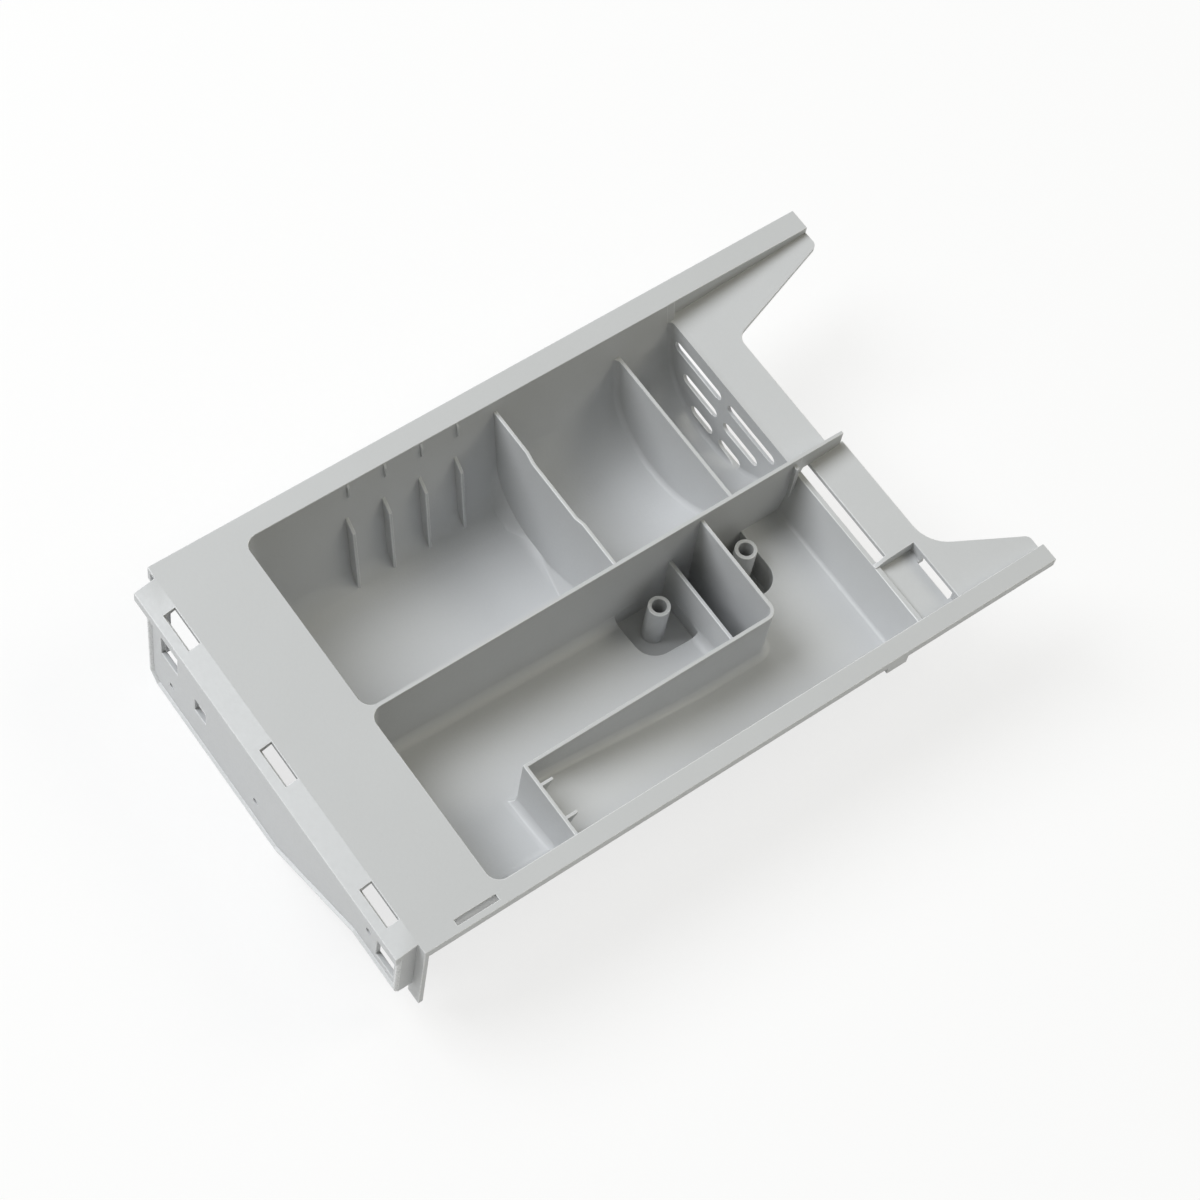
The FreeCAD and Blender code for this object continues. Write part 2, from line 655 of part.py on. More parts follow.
def deck_and_rims():
    """Front deck, the two rims with their down-turned skirts, the stop lug and the centre wall."""
    right = DRAWER_WIDTH
    inner_left = LEFT_RIM_WIDTH - WALL
    inner_right = RIGHT_BAY_EDGE + WALL
    plate_left = plate_height(LEFT_RIM_LENGTH)
    parts = [
        box(0, right, 0, DECK_LENGTH, -FLANGE, 0),
        box(0, LEFT_RIM_WIDTH, 0, LEFT_RIM_LENGTH, -FLANGE, 0),
        box(RIGHT_BAY_EDGE, right, 0, RIGHT_RIM_LENGTH, -FLANGE, 0),
        box(0, WALL, 0, LEFT_RIM_LENGTH, -LEFT_SKIRT, 0),
        box(right - WALL, right, 0, RIGHT_RIM_LENGTH, -RIGHT_SKIRT, 0),
        box(right - WALL, right, LUG_Y, LUG_Y + LUG_LENGTH, -LUG_DROP, 0),
        box(CENTRE_LEFT, CENTRE_RIGHT, REAR_WALL_FOOT_Y, CENTRE_WALL_END, -PLATE_DROP, 0),
    ]
    rail = side_prism(
        [
            (LOUVRE_FRONT, 0),
            (LEFT_RIM_LENGTH, 0),
            (LEFT_RIM_LENGTH, plate_left - PLATE),
            (LOUVRE_FRONT, plate_height(LOUVRE_FRONT) - PLATE),
        ],
        0,
        WALL,
    )
    parts.append(rail.translated(Vector(inner_left, 0, 0)))
    right_rail = rail.common(box(0, right, REAR_WALL_FOOT_Y, RIGHT_RIM_LENGTH, -CUT, CUT))
    parts.append(right_rail.translated(Vector(inner_right - WALL, 0, 0)))
    return parts


def deck_slit():
    """Narrow latch slit in the right rim beside the deck."""
    x1 = DRAWER_WIDTH - SLIT_FROM_SIDE + SLIT_WIDTH / 2
    y1 = DECK_LENGTH - SLIT_FROM_BAY
    return box(x1 - SLIT_WIDTH, x1, y1 - SLIT_LENGTH, y1, -CUT, CUT)


def slit_guide():
    """Guide rib under the deck along the inner side of the latch slit."""
    x1 = DRAWER_WIDTH - SLIT_FROM_SIDE - SLIT_WIDTH / 2
    y1 = DECK_LENGTH - SLIT_FROM_BAY
    return box(
        x1 - PARTITION, x1, y1 - SLIT_LENGTH, y1 + SLIT_GUIDE_OVERRUN, -FLANGE - SLIT_GUIDE_DROP, -FLANGE / 2
    )


def rear_plates():
    """Sloping plates behind the bays, each running out into an arm beside its rim."""
    front = LOUVRE_FRONT
    rear = LEFT_RIM_LENGTH
    slab = side_prism(
        [
            (front, plate_height(front)),
            (rear, plate_height(rear)),
            (rear, plate_height(rear) - PLATE),
            (front, plate_height(front) - PLATE),
        ],
        0,
        DRAWER_WIDTH,
    )
    rail = LEFT_RIM_WIDTH - WALL / 2
    left = plan_prism(
        [
            (rail, front),
            (CENTRE_WALL_X, front),
            (CENTRE_WALL_X, LEFT_PLATE_REAR_Y),
            (LEFT_ARM_ROOT_X, LEFT_PLATE_REAR_Y),
            (LEFT_ARM_TIP_X, LEFT_RIM_LENGTH),
            (rail, LEFT_RIM_LENGTH),
        ],
        -CUT,
        CUT,
    )
    left = left.makeFillet(LEFT_ARM_RADIUS, upright_edges_at(left, LEFT_ARM_ROOT_X, LEFT_PLATE_REAR_Y))
    left = left.makeFillet(ARM_TIP_RADIUS, upright_edges_at(left, LEFT_ARM_TIP_X, LEFT_RIM_LENGTH))
    rail = RIGHT_BAY_EDGE + WALL / 2
    root_x = DRAWER_WIDTH - RIGHT_ARM_ROOT_FROM_SIDE
    tip_x = DRAWER_WIDTH - RIGHT_ARM_TIP_FROM_SIDE
    right = plan_prism(
        [
            (CENTRE_WALL_X, RIGHT_PLATE_FRONT_Y),
            (LEDGE_START_X, RIGHT_PLATE_FRONT_Y),
            (LEDGE_START_X, LEDGE_REAR_Y),
            (rail, LEDGE_REAR_Y),
            (rail, RIGHT_RIM_LENGTH),
            (tip_x, RIGHT_RIM_LENGTH),
            (root_x, RIGHT_PLATE_REAR_Y),
            (CENTRE_WALL_X, RIGHT_PLATE_REAR_Y),
        ],
        -CUT,
        CUT,
    )
    right = right.makeFillet(RIGHT_ARM_RADIUS, upright_edges_at(right, root_x, RIGHT_PLATE_REAR_Y))
    right = right.makeFillet(ARM_TIP_RADIUS, upright_edges_at(right, tip_x, RIGHT_RIM_LENGTH))
    return [slab.common(left), slab.common(right)]


def ledge():
    """Sunk shelf right of the water slot, with risers up to the plate and a window in the rear one."""
    wall_top = REAR_WALL_FOOT_Y + REAR_WALL_LEAN * (CHANNEL_REAR_DEPTH - LEDGE_DROP)
    rail = RIGHT_BAY_EDGE + WALL / 2
    plate_top = plate_height(LEDGE_REAR_Y)
    shelf = box(LEDGE_START_X - WALL, rail, wall_top, LEDGE_REAR_Y + WALL, -LEDGE_DROP - WALL, -LEDGE_DROP)
    side_riser = side_prism(
        [
            (wall_top, -LEDGE_DROP - WALL),
            (LEDGE_REAR_Y + WALL, -LEDGE_DROP - WALL),
            (LEDGE_REAR_Y + WALL, plate_height(LEDGE_REAR_Y + WALL)),
            (RIGHT_PLATE_FRONT_Y, plate_height(RIGHT_PLATE_FRONT_Y)),
            (wall_top, -REAR_WALL_DROP),
        ],
        LEDGE_START_X - WALL,
        LEDGE_START_X,
    )
    rear_riser = box(LEDGE_START_X - WALL, rail, LEDGE_REAR_Y, LEDGE_REAR_Y + WALL, -LEDGE_DROP - WALL, plate_top)
    window = box(
        LEDGE_START_X + LEDGE_WINDOW_MARGIN,
        RIGHT_BAY_EDGE - LEDGE_WINDOW_MARGIN,
        LEDGE_REAR_Y - LEDGE_WINDOW_CUT,
        LEDGE_REAR_Y + 2 * WALL,
        -CUT,
        plate_top - PLATE,
    )
    return shelf.fuse([side_riser, rear_riser]).cut(window)


def front_lip():
    """Lip before the deck that falls slightly forward to a down-turned edge, pierced by the clip windows."""
    lip = side_prism(
        [
            (0, 0),
            (-LIP_REACH, -LIP_FALL),
            (-LIP_REACH, -LIP_FALL - LIP_EDGE),
            (WALL - LIP_REACH, -LIP_FALL - LIP_EDGE),
            (WALL - LIP_REACH, -LIP_FALL - FLANGE),
            (0, -FLANGE),
        ],
        LIP_START_X,
        DRAWER_WIDTH - LIP_END_MARGIN,
    )
    windows = []
    span = DRAWER_WIDTH - WINDOW_LEFT_MARGIN - WINDOW_RIGHT_MARGIN - WINDOW_LENGTH
    for index in range(WINDOW_COUNT):
        x = WINDOW_LEFT_MARGIN + index * span / (WINDOW_COUNT - 1)
        y1 = -WINDOW_SETBACK
        windows.append(box(x, x + WINDOW_LENGTH, y1 - WINDOW_WIDTH, y1, -CUT, CUT))
    return lip.cut(windows)


def apron_web(x, thickness, rear, depth):
    """Upright web from the apron back under the lip and the deck."""
    front = -LIP_REACH + APRON_SETBACK
    fall = LIP_FALL * front / LIP_REACH
    outline = [
        (front, fall - FLANGE / 2),
        (0, -FLANGE / 2),
        (rear, -FLANGE / 2),
        (rear, -depth),
        (front, -depth),
    ]
    return side_prism(outline, x, x + thickness)


def apron_hole(x, depth):
    """Small round hole through the apron."""
    return Part.makeCylinder(HOLE_RADIUS, CUT, Vector(x, -LIP_REACH - CUT / 2, -depth), Vector(0, 1, 0))


def apron():
    """Upright frame below the lip, with its openings, its end returns, stiffeners and the right leg."""
    front = -LIP_REACH + APRON_SETBACK
    rear = front + APRON
    top = -LIP_FALL - FLANGE / 2
    end_x = DRAWER_WIDTH - APRON_END_MARGIN
    outline = [
        (APRON_START_X, top),
        (APRON_START_X, -HEIGHT + APRON_CHAMFER),
        (APRON_START_X + APRON_CHAMFER, -HEIGHT),
        (CENTRE_WALL_X + APRON_STEP_OFFSET, -HEIGHT),
        (DRAWER_WIDTH - APRON_STEP_END_FROM_SIDE, -APRON_SHALLOW_DEPTH),
        (end_x, -APRON_SHALLOW_DEPTH),
        (end_x, top),
    ]
    panel = section_prism(outline, front, rear)
    x3 = DRAWER_WIDTH - OPENING_3_FROM_SIDE
    y0 = front - CUT
    panel = panel.cut(
        [
            box(OPENING_1_X, OPENING_1_X + OPENING_1_WIDTH, y0, rear, -OPENING_1_LOW_DEPTH, -OPENING_1_TOP_DEPTH),
            box(OPENING_2_X, OPENING_2_X + OPENING_2_WIDTH, y0, rear, -OPENING_2_LOW_DEPTH, -OPENING_2_TOP_DEPTH),
            box(x3, x3 + OPENING_3_WIDTH, y0, rear, -OPENING_3_LOW_DEPTH, -OPENING_3_TOP_DEPTH),
            apron_hole(HOLE_1_X, HOLE_1_DEPTH),
            apron_hole(HOLE_2_X, HOLE_2_DEPTH),
            apron_hole(DRAWER_WIDTH - HOLE_3_FROM_SIDE, HOLE_3_DEPTH),
        ]
    )
    leg_x = DRAWER_WIDTH - LEG_WIDTH
    leg = box(leg_x, DRAWER_WIDTH, LEG_SETBACK - APRON, LEG_SETBACK, -LEG_DEPTH, -FLANGE / 2)
    webs = [
        apron_web(APRON_START_X, APRON, LEG_SETBACK, LEG_DEPTH),
        apron_web(end_x - APRON, APRON, LEG_SETBACK, APRON_SHALLOW_DEPTH),
    ]
    for side in (-1, 1):
        x = CENTRE_WALL_X + side * STIFFENER_SPREAD
        webs.append(apron_web(x - WALL / 2, WALL, DECK_LENGTH, STIFFENER_DEPTH))
    return panel.fuse([leg] + webs)


def build_tray():
    """The whole moulding as one solid, set on its lowest point and centred."""
    above_rim = box(-CUT, DRAWER_WIDTH, -CUT, LEFT_RIM_LENGTH, 0, 2 * CUT)
    trough_hull = front_trough(DECK_LENGTH - WALL, COLLAR_Y, WALL).cut(above_rim)
    rear_hull = rear_trough(WEIR_1_FRONT, LOUVRE_REAR, WALL)
    body = trough_hull.fuse(
        [collar(WALL), rear_hull, right_bay_walls(), sump_1(WALL), sump_2(WALL)]
        + deck_and_rims()
        + rear_plates()
        + [ledge(), front_lip(), apron(), slit_guide()]
    )
    hollows = left_bay_spaces() + weir_openings() + louvre_slots()
    hollows += [front_compartment_space(), side_channel_space(), pocket(), sump_1(), sump_2()]
    hollows += low_wall_openings() + [deck_slit()]
    body = body.cut(hollows)
    body = body.fuse(fins(trough_hull) + siphon_posts() + gussets() + [corner_rib()])
    body = body.cut(siphon_bores()).removeSplitter()
    middle = (LEFT_RIM_LENGTH - LIP_REACH) / 2
    return body.translated(Vector(-DRAWER_WIDTH / 2, -middle, HEIGHT))


def main():
    """Write the moulding's file."""
    os.makedirs("parts", exist_ok=True)
    tray = build_tray()
    solids = tray.Solids
    print("solids", len(solids), "valid", tray.isValid(), "volume", round(tray.Volume), tray.BoundBox)
    tray.exportStep("parts/drawer_tray.step")


main()
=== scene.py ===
"""Detergent drawer tray: the moulding's finishes, its fine marks and the studio round it."""

from __future__ import annotations

import json
import logging
import math
from dataclasses import dataclass
from enum import Enum

import bmesh
import bpy
from mathutils import Euler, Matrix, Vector

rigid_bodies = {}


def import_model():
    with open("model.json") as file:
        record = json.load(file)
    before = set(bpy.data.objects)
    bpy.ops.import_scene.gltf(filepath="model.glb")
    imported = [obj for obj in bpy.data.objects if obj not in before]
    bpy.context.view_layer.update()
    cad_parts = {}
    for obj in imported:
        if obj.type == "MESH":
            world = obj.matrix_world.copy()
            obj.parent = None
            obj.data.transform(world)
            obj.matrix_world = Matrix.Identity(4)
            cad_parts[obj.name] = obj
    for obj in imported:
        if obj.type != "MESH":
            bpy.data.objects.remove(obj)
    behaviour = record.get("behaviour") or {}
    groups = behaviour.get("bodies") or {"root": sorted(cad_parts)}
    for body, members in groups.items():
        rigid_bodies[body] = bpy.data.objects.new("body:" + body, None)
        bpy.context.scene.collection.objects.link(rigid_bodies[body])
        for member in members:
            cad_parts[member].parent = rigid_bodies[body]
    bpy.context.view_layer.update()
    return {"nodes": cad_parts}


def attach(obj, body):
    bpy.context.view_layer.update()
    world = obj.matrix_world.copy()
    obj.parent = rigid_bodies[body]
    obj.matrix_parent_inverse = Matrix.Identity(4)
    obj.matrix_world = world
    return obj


LOG = logging.getLogger("drawer_tray")
MM = 0.001
COOL_WHITE = (0.95, 0.972, 1.0)
WARM_WHITE = (1.0, 0.965, 0.83)


class Socket(Enum):
    """Kinds of socket that the effect groups use."""

    VALUE = "NodeSocketFloat"
    VECTOR = "NodeSocketVector"


class Lamp(Enum):
    """Lamps of the studio, by the side they stand on."""

    KEY = "left_front_softbox"
    SIDE = "left_softbox"
    BACK = "rear_fill"


class EffectGroup:
    """One shader node group under construction, with short calls for its sockets and nodes."""

    def __init__(self, name: str) -> None:
        """Start a group that takes a place on the surface.

        Args:
            name: Name of the group.
        """
        self.tree = bpy.data.node_groups.new(name, "ShaderNodeTree")
        self.entry = self.tree.nodes.new("NodeGroupInput")
        self.exit = self.tree.nodes.new("NodeGroupOutput")
        self.takes("Vector", Socket.VECTOR)

    def takes(self, name: str, kind: Socket = Socket.VALUE) -> None:
        """Add a named input."""
        self.tree.interface.new_socket(name, in_out="INPUT", socket_type=kind.value)

    def gives(self, name: str) -> None:
        """Add a named output that carries a value."""
        self.tree.interface.new_socket(name, in_out="OUTPUT", socket_type=Socket.VALUE.value)

    def node(self, kind: str, **settings: object) -> bpy.types.Node:
        """Add a node.

        Args:
            kind: Blender's name for the node.
            **settings: Properties of the node.

        Returns:
            The new node.
        """
        made = self.tree.nodes.new(kind)
        for key, value in settings.items():
            setattr(made, key, value)
        return made

    def noise(self, **values: float) -> bpy.types.Node:
        """Add a noise texture.

        Args:
            **values: Values of the texture's inputs.

        Returns:
            The new node.
        """
        made = self.node("ShaderNodeTexNoise")
        for key, value in values.items():
            made.inputs[key].default_value = value
        return made

    def link(self, start: bpy.types.NodeSocket, end: bpy.types.NodeSocket) -> None:
        """Join an output to an input."""
        self.tree.links.new(start, end)

    def scaled(self, value: bpy.types.NodeSocket, low: float, high: float) -> bpy.types.NodeSocket:
        """Spread a value that runs from 0 to 1 over another range.

        Args:
            value: Output that gives the value.
            low: What 0 becomes.
            high: What 1 becomes.

        Returns:
            Output that gives the spread value.
        """
        spread = self.node("ShaderNodeMapRange")
        spread.inputs["To Min"].default_value = low
        spread.inputs["To Max"].default_value = high
        self.link(value, spread.inputs["Value"])
        return spread.outputs["Result"]

    def maths(
        self, operation: str, first: bpy.types.NodeSocket, second: bpy.types.NodeSocket | float
    ) -> bpy.types.NodeSocket:
        """Reckon with two values.

        Args:
            operation: Blender's name for the operation.
            first: Output that gives the first value.
            second: Output that gives the second value, or the value itself.

        Returns:
            Output that gives the result.
        """
        step = self.node("ShaderNodeMath", operation=operation)
        self.link(first, step.inputs[0])
        if isinstance(second, float):
            step.inputs[1].default_value = second
        else:
            self.link(second, step.inputs[1])
        return step.outputs[0]


@dataclass
class MouldEffects:
    """Effect groups that every finish of the moulding shares."""

    noise_detail: float = 2.0
    grain_roughness: float = 0.6
    pore_scale: float = 0.55
    pore_depth: float = 0.6
    drift_swirl: float = 0.6
    speckle_scale: float = 60.0
    line_stretch: tuple[float, float, float] = (1.0, 1.0, 0.03)

    def __post_init__(self) -> None:
        """Build the groups once."""
        self.grain = self._spark_grain()
        self.drift = self._tone_drift()
        self.draw = self._draw_lines()

    def _spark_grain(self) -> bpy.types.NodeTree:
        """Fine spark-eroded grain of the mould's flat faces.

        Returns:
            Group with a Height and a Pores output.
        """
        group = EffectGroup("spark_grain")
        group.takes("Scale")
        group.gives("Height")
        group.gives("Pores")
        place, scale = group.entry.outputs["Vector"], group.entry.outputs["Scale"]
        noise = group.noise(Detail=self.noise_detail, Roughness=self.grain_roughness)
        pores = group.node("ShaderNodeTexVoronoi", feature="F1")
        for texture in (noise, pores):
            group.link(place, texture.inputs["Vector"])
        group.link(scale, noise.inputs["Scale"])
        group.link(group.maths("MULTIPLY", scale, self.pore_scale), pores.inputs["Scale"])
        pits = group.maths("MULTIPLY", pores.outputs["Distance"], self.pore_depth)
        group.link(group.maths("ADD", noise.outputs["Fac"], pits), group.exit.inputs["Height"])
        group.link(group.scaled(pores.outputs["Distance"], 0.0, 1.0), group.exit.inputs["Pores"])
        return group.tree

    def _tone_drift(self) -> bpy.types.NodeTree:
        """Slow drift of tone where the melt ran thicker or thinner, with a fine speckle over it.

        Returns:
            Group with a Tone output from 0 to 1.
        """
        group = EffectGroup("tone_drift")
        group.takes("Scale")
        group.takes("Speckle")
        group.gives("Tone")
        place, scale = group.entry.outputs["Vector"], group.entry.outputs["Scale"]
        slow = group.noise(Detail=self.noise_detail, Distortion=self.drift_swirl)
        fine = group.noise(Detail=self.noise_detail)
        for texture in (slow, fine):
            group.link(place, texture.inputs["Vector"])
        group.link(scale, slow.inputs["Scale"])
        group.link(group.maths("MULTIPLY", scale, self.speckle_scale), fine.inputs["Scale"])
        either_way = group.scaled(fine.outputs["Fac"], -1.0, 1.0)
        speck = group.maths("MULTIPLY", either_way, group.entry.outputs["Speckle"])
        group.link(group.maths("ADD", slow.outputs["Fac"], speck), group.exit.inputs["Tone"])
        return group.tree

    def _draw_lines(self) -> bpy.types.NodeTree:
        """Faint upright polishing lines that the mould leaves on its drafted walls.

        Returns:
            Group with a Height output.
        """
        group = EffectGroup("draw_lines")
        group.takes("Scale")
        group.gives("Height")
        stretch = group.node("ShaderNodeMapping")
        stretch.inputs["Scale"].default_value = self.line_stretch
        lines = group.noise(Detail=self.noise_detail)
        group.link(group.entry.outputs["Vector"], stretch.inputs["Vector"])
        group.link(stretch.outputs["Vector"], lines.inputs["Vector"])
        group.link(group.entry.outputs["Scale"], lines.inputs["Scale"])
        group.link(lines.outputs["Fac"], group.exit.inputs["Height"])
        return group.tree


@dataclass(frozen=True)
class PlasticFinish:
    """One finish of the light grey moulding, with grain on level faces and draw lines on upright ones."""

    name: str
    deep_tone: tuple[float, float, float, float]
    pale_tone: tuple[float, float, float, float]
    roughness_low: float
    roughness_high: float
    grain_scale: float
    grain_depth: float
    line_scale: float
    drift_scale: float
    specular: float
    speckle: float = 0.2
    ior: float = 1.49
    upright_below: float = 0.55
    level_above: float = 0.95

    def material(self, effects: MouldEffects) -> bpy.types.Material:
        """Build the finish as a material.

        Args:
            effects: Shared effect groups.

        Returns:
            The new material.
        """
        made = bpy.data.materials.new(self.name)
        made.use_nodes = True
        tree = made.node_tree
        tree.nodes.clear()
        output = tree.nodes.new("ShaderNodeOutputMaterial")
        plastic = tree.nodes.new("ShaderNodeBsdfPrincipled")
        plastic.inputs["IOR"].default_value = self.ior
        plastic.inputs["Specular IOR Level"].default_value = self.specular
        tree.links.new(plastic.outputs["BSDF"], output.inputs["Surface"])
        place = tree.nodes.new("ShaderNodeTexCoord").outputs["Object"]
        drift = self._group(tree, effects.drift, place, Scale=self.drift_scale, Speckle=self.speckle)
        grain = self._group(tree, effects.grain, place, Scale=self.grain_scale)
        lines = self._group(tree, effects.draw, place, Scale=self.line_scale)
        self._colour(tree, drift, plastic)
        self._relief(tree, grain, lines, plastic)
        self._gloss(tree, grain, plastic)
        return made

    def _colour(self, tree: bpy.types.NodeTree, drift: bpy.types.Node, plastic: bpy.types.Node) -> None:
        """Let the colour drift between the finish's two tones.

        Args:
            tree: Nodes of the material.
            drift: Node that gives the drift.
            plastic: Shader of the material.
        """
        tone = tree.nodes.new("ShaderNodeMix")
        tone.data_type = "RGBA"
        tone.inputs["A"].default_value = self.deep_tone
        tone.inputs["B"].default_value = self.pale_tone
        tree.links.new(drift.outputs["Tone"], tone.inputs["Factor"])
        tree.links.new(tone.outputs["Result"], plastic.inputs["Base Color"])

    def _relief(
        self, tree: bpy.types.NodeTree, grain: bpy.types.Node, lines: bpy.types.Node, plastic: bpy.types.Node
    ) -> None:
        """Press the grain into level faces and the draw lines into upright ones.

        Args:
            tree: Nodes of the material.
            grain: Node that gives the grain.
            lines: Node that gives the draw lines.
            plastic: Shader of the material.
        """
        facing = tree.nodes.new("ShaderNodeSeparateXYZ")
        normal = tree.nodes.new("ShaderNodeNewGeometry").outputs["Normal"]
        tree.links.new(normal, facing.inputs["Vector"])
        level = tree.nodes.new("ShaderNodeMapRange")
        level.inputs["From Min"].default_value = self.upright_below
        level.inputs["From Max"].default_value = self.level_above
        tree.links.new(facing.outputs["Z"], level.inputs["Value"])
        relief = tree.nodes.new("ShaderNodeMix")
        tree.links.new(level.outputs["Result"], relief.inputs["Factor"])
        tree.links.new(lines.outputs["Height"], relief.inputs["A"])
        tree.links.new(grain.outputs["Height"], relief.inputs["B"])
        bump = tree.nodes.new("ShaderNodeBump")
        bump.inputs["Strength"].default_value = 1.0
        bump.inputs["Distance"].default_value = self.grain_depth
        tree.links.new(relief.outputs["Result"], bump.inputs["Height"])
        tree.links.new(bump.outputs["Normal"], plastic.inputs["Normal"])

    def _gloss(self, tree: bpy.types.NodeTree, grain: bpy.types.Node, plastic: bpy.types.Node) -> None:
        """Make the grain's pores rougher than the skin between them.

        Args:
            tree: Nodes of the material.
            grain: Node that gives the pores.
            plastic: Shader of the material.
        """
        gloss = tree.nodes.new("ShaderNodeMapRange")
        gloss.inputs["To Min"].default_value = self.roughness_low
        gloss.inputs["To Max"].default_value = self.roughness_high
        tree.links.new(grain.outputs["Pores"], gloss.inputs["Value"])
        tree.links.new(gloss.outputs["Result"], plastic.inputs["Roughness"])

    @staticmethod
    def _group(
        tree: bpy.types.NodeTree, effect: bpy.types.NodeTree, place: bpy.types.NodeSocket, **values: float
    ) -> bpy.types.Node:
        """Place an effect group in a material.

        Args:
            tree: Nodes of the material.
            effect: Effect group.
            place: Output that gives the surface's place.
            **values: Values of the group's inputs.

        Returns:
            The group's node.
        """
        made = tree.nodes.new("ShaderNodeGroup")
        made.node_tree = effect
        tree.links.new(place, made.inputs["Vector"])
        for key, value in values.items():
            made.inputs[key].default_value = value
        return made


WALL_FINISH = PlasticFinish(
    name="tray_satin",
    deep_tone=(0.545, 0.553, 0.561, 1.0),
    pale_tone=(0.585, 0.594, 0.603, 1.0),
    roughness_low=0.36,
    roughness_high=0.50,
    grain_scale=1500.0,
    grain_depth=0.02 * MM,
    line_scale=900.0,
    drift_scale=16.0,
    specular=0.5,
)
# Tones lighter than the satin's: a painted highlight along the broken edges and the apron bead. The lower
# roughness is a real polish.
EDGE_POLISH_AND_HIGHLIGHT = PlasticFinish(
    name="tray_edge_painted_highlight",
    deep_tone=(0.66, 0.668, 0.674, 1.0),
    pale_tone=(0.73, 0.738, 0.744, 1.0),
    roughness_low=0.24,
    roughness_high=0.34,
    grain_scale=2200.0,
    grain_depth=0.006 * MM,
    line_scale=1500.0,
    drift_scale=40.0,
    specular=0.6,
)


@dataclass(frozen=True)
class TightPlace:
    """Spot where a wall's top runs out into another face, too narrow there for a radius."""

    place_mm: tuple[float, float, float]
    reach_mm: float


@dataclass
class TrayShell:
    """The one-piece moulding as it comes from the frame, its sharp outward edges broken."""

    node: bpy.types.Object
    edge_radius: float = 0.3 * MM
    edge_angle: float = math.radians(38.0)
    edge_steps: int = 3
    edge_slot: int = 1
    shortest_edge: float = 0.5 * MM
    joining_gap: float = 0.002 * MM
    plain_angle: float = math.radians(0.3)
    shading_weight: int = 100
    tight_places: tuple[TightPlace, ...] = (
        TightPlace((0.65, 58.8, 46.4), 1.3),
        TightPlace((1.46, 80.93, 33.4), 0.5),
        TightPlace((63.35, 101.35, 48.72), 0.5),
    )

    def soften(self) -> None:
        """Break the moulding's sharp outward edges by a small radius and shade its faces evenly."""
        weld = self.node.modifiers.new("joined_faces", "WELD")
        weld.merge_threshold = self.joining_gap
        plain = self.node.modifiers.new("plain_faces", "DECIMATE")
        plain.decimate_type = "DISSOLVE"
        plain.angle_limit = self.plain_angle
        choice = self.node.modifiers.new("outward_edges", "NODES")
        choice.node_group = self._outward_edges()
        edge = self.node.modifiers.new("broken_edges", "BEVEL")
        edge.width = self.edge_radius
        edge.segments = self.edge_steps
        edge.limit_method = "WEIGHT"
        edge.use_clamp_overlap = False
        # The bevel faces take the edge finish, whose lighter tones are a painted highlight.
        edge.material = self.edge_slot
        crisp = self.node.modifiers.new("crisp_corners", "NODES")
        crisp.node_group = self._crisp_corners()
        shade = self.node.modifiers.new("even_shading", "WEIGHTED_NORMAL")
        shade.weight = self.shading_weight
        shade.keep_sharp = True

    def _outward_edges(self) -> bpy.types.NodeTree:
        """Pick out the sharp edges that point outwards, apart from places too tight for a radius.

        Returns:
            Geometry group that gives those edges their bevel weight.
        """
        tree, entry, leave = self._shape_group("outward_edges")
        ends = tree.nodes.new("GeometryNodeInputMeshEdgeVertices")
        length = self._distance(tree, ends.outputs["Position 1"])
        tree.links.new(ends.outputs["Position 2"], length.inputs[1])
        sharp = self._edge_test(tree, "Signed Angle", "GREATER_THAN")
        sharp = self._above(tree, sharp, length.outputs["Value"], self.shortest_edge)
        middle = tree.nodes.new("GeometryNodeInputPosition").outputs["Position"]
        for tight in self.tight_places:
            gap = self._distance(tree, middle)
            gap.inputs[1].default_value = [value * MM for value in tight.place_mm]
            sharp = self._above(tree, sharp, gap.outputs["Value"], tight.reach_mm * MM)
        store = tree.nodes.new("GeometryNodeStoreNamedAttribute")
        store.data_type = "FLOAT"
        store.domain = "EDGE"
        store.inputs["Name"].default_value = "bevel_weight_edge"
        tree.links.new(entry.outputs["Geometry"], store.inputs["Geometry"])
        tree.links.new(sharp, store.inputs["Value"])
        tree.links.new(store.outputs["Geometry"], leave.inputs["Geometry"])
        return tree

    def _crisp_corners(self) -> bpy.types.NodeTree:
        """Shade every face evenly and keep the inner corners crisp.

        Returns:
            Geometry group that sets the shading of faces and edges.
        """
        tree, entry, leave = self._shape_group("crisp_corners")
        faces = tree.nodes.new("GeometryNodeSetShadeSmooth")
        faces.domain = "FACE"
        edges = tree.nodes.new("GeometryNodeSetShadeSmooth")
        edges.domain = "EDGE"
        blunt = self._edge_test(tree, "Unsigned Angle", "LESS_THAN")
        tree.links.new(blunt, edges.inputs["Shade Smooth"])
        tree.links.new(entry.outputs["Geometry"], faces.inputs["Geometry"])
        tree.links.new(faces.outputs["Geometry"], edges.inputs["Geometry"])
        tree.links.new(edges.outputs["Geometry"], leave.inputs["Geometry"])
        return tree

    @staticmethod
    def _shape_group(name: str) -> tuple[bpy.types.NodeTree, bpy.types.Node, bpy.types.Node]:
        """Start a geometry group.

        Args:
            name: Name of the group.

        Returns:
            The group, its entry and its exit.
        """
        tree = bpy.data.node_groups.new(name, "GeometryNodeTree")
        for way in ("INPUT", "OUTPUT"):
            tree.interface.new_socket("Geometry", in_out=way, socket_type="NodeSocketGeometry")
        return tree, tree.nodes.new("NodeGroupInput"), tree.nodes.new("NodeGroupOutput")

    @staticmethod
    def _distance(tree: bpy.types.NodeTree, start: bpy.types.NodeSocket) -> bpy.types.Node:
        """Measure how far a place is from another.

        Args:
            tree: Geometry group.
            start: Output that gives the first place.

        Returns:
            Node that measures, its second input still free.
        """
        made = tree.nodes.new("ShaderNodeVectorMath")
        made.operation = "DISTANCE"
        tree.links.new(start, made.inputs[0])
        return made

